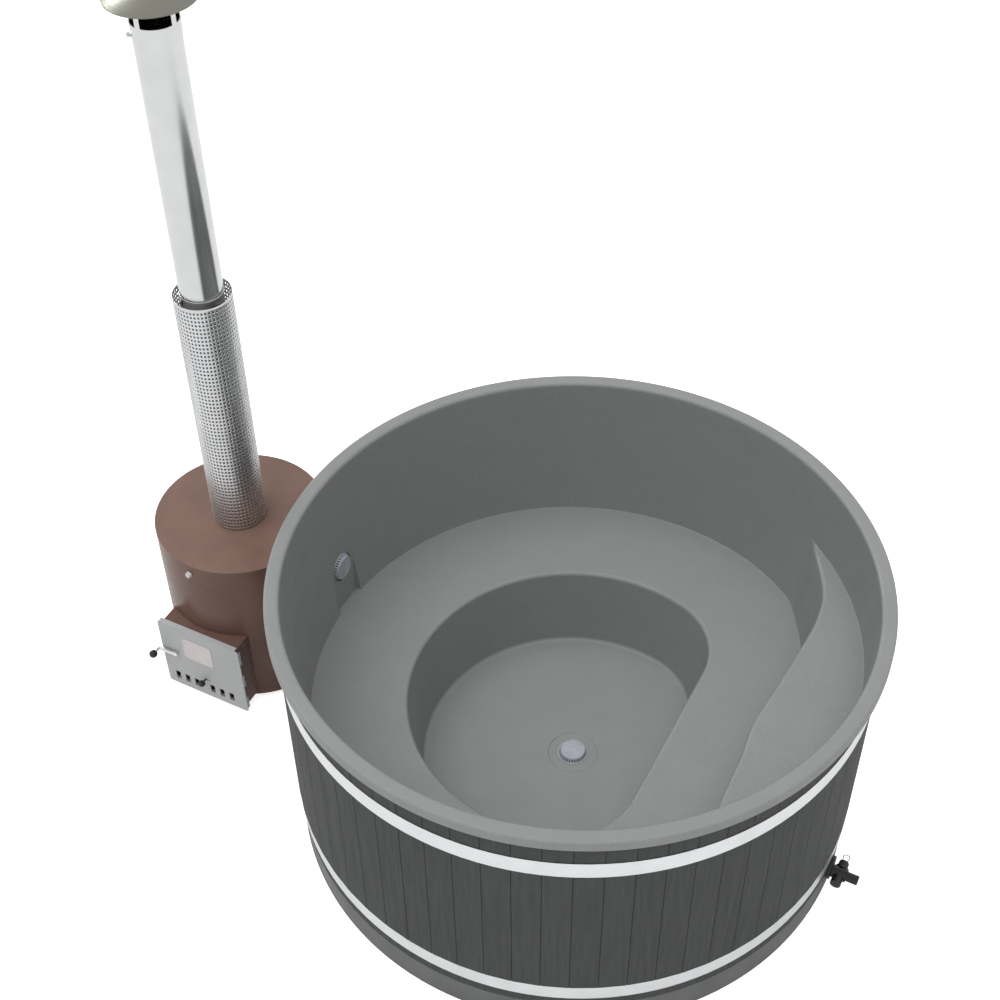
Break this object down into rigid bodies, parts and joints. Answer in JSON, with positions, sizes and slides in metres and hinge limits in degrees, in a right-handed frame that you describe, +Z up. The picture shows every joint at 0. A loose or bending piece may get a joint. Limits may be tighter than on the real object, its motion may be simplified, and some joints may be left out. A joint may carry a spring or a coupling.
{
  "type": "hot tub",
  "caption": "Round hot tub with a moulded grey liner, dark timber stave cladding, steel bands, a bottom drain valve and an outside wood stove with a tall flue.",
  "frame": {"origin": "centre of the tub's foot, on the ground", "axes": "+Z up, the stove stands towards -X and +Y, the stove door looks mostly towards -Y"},
  "size_m": [2.3278, 1.7996, 2.4772],
  "materials": {
    "liner": "satin",
    "stave_wood": "matte",
    "band_steel": "satin",
    "bolt_steel": "satin",
    "base_plastic": "matte",
    "plain_wood": "matte",
    "foam": "matte",
    "fitting_plastic": "satin",
    "black_plastic": "satin",
    "bright_plug": "polished",
    "copper_wire": "satin",
    "pipe_plastic": "matte",
    "pipe_steel": "satin",
    "hose_rubber": "matte",
    "stove_paint": "satin",
    "stove_top_paint": "satin",
    "fire_steel": "matte",
    "grate_iron": "matte",
    "neck_steel": "satin",
    "door_paint": "satin",
    "seal_rope": "matte",
    "plate_metal": "satin",
    "slide_steel": "satin",
    "handle_steel": "polished",
    "ball_plastic": "gloss",
    "flue_steel": "satin",
    "shield_steel": "satin",
    "hat_steel": "satin",
    "vent_steel": "satin"
  },
  "bodies": {
    "tub": {"tub_liner": "liner", "staves_back": "stave_wood", "staves_left": "stave_wood", "staves_front": "stave_wood", "staves_right": "stave_wood", "upper_band": "band_steel", "lower_band": "band_steel", "band_bolts": "bolt_steel", "band_nuts": "bolt_steel", "base_ring": "base_plastic", "base_board": "plain_wood", "floor_bearers": "plain_wood", "seat_ribs": "plain_wood", "step_posts": "plain_wood", "wall_foam": "foam", "floor_foam": "foam", "fitting_bodies": "fitting_plastic", "fitting_nuts": "fitting_plastic", "floor_drain_strainer": "fitting_plastic", "hot_inlet_strainer": "fitting_plastic", "cold_outlet_strainer": "fitting_plastic", "drain_pipe": "pipe_plastic", "hot_pipe": "pipe_steel", "cold_pipe": "pipe_plastic", "wall_grommets": "hose_rubber", "hoses": "hose_rubber", "hose_clamps": "bolt_steel", "drain_valve_flange": "black_plastic", "drain_valve_body": "black_plastic", "stove_shell": "stove_paint", "stove_top": "stove_top_paint", "stove_bottom": "stove_paint", "stove_feet": "hose_rubber", "fire_box": "fire_steel", "fire_grate": "grate_iron", "stove_stubs": "pipe_steel", "vent_plug": "vent_steel", "door_neck": "neck_steel", "hinge_pins": "bolt_steel", "lower_flue": "flue_steel", "upper_flue": "flue_steel", "heat_shield": "shield_steel", "shield_clips": "flue_steel", "cap_collar": "flue_steel", "cap_hat": "hat_steel", "cap_bolt": "bolt_steel"},
    "door": {"fire_door": "door_paint", "door_seal": "seal_rope", "name_plate": "plate_metal", "slide_guides": "door_paint"},
    "air_slide": {"air_slide": "slide_steel", "air_slide_ball": "ball_plastic"},
    "handle": {"door_handle": "handle_steel", "door_handle_ball": "ball_plastic", "latch_tongue": "slide_steel"},
    "drain_knob": {"drain_valve_plug": "bright_plug", "drain_valve_knob": "black_plastic", "drain_valve_loop": "copper_wire"}
  },
  "joints": [
    {"name": "fire_door_hinge", "type": "hinge", "parent": "tub", "child": "door", "pos_m": [-1.09708, 0.19052, 0.187], "axis": [0, 0, 1], "range_deg": [0, 110]},
    {"name": "air_slide_travel", "type": "slide", "parent": "door", "child": "air_slide", "axis": [0.9157, -0.4019, 0], "range_m": [0, 0.0192]},
    {"name": "door_handle_turn", "type": "hinge", "parent": "door", "child": "handle", "pos_m": [-1.3355, 0.28426, 0.207], "axis": [0.4019, 0.9157, 0], "range_deg": [0, 75]},
    {"name": "drain_knob_turn", "type": "hinge", "parent": "tub", "child": "drain_knob", "pos_m": [0.82494, -0.37595, 0.072], "axis": [0.4147, 0.91, 0], "range_deg": [0, 90]}
  ]
}
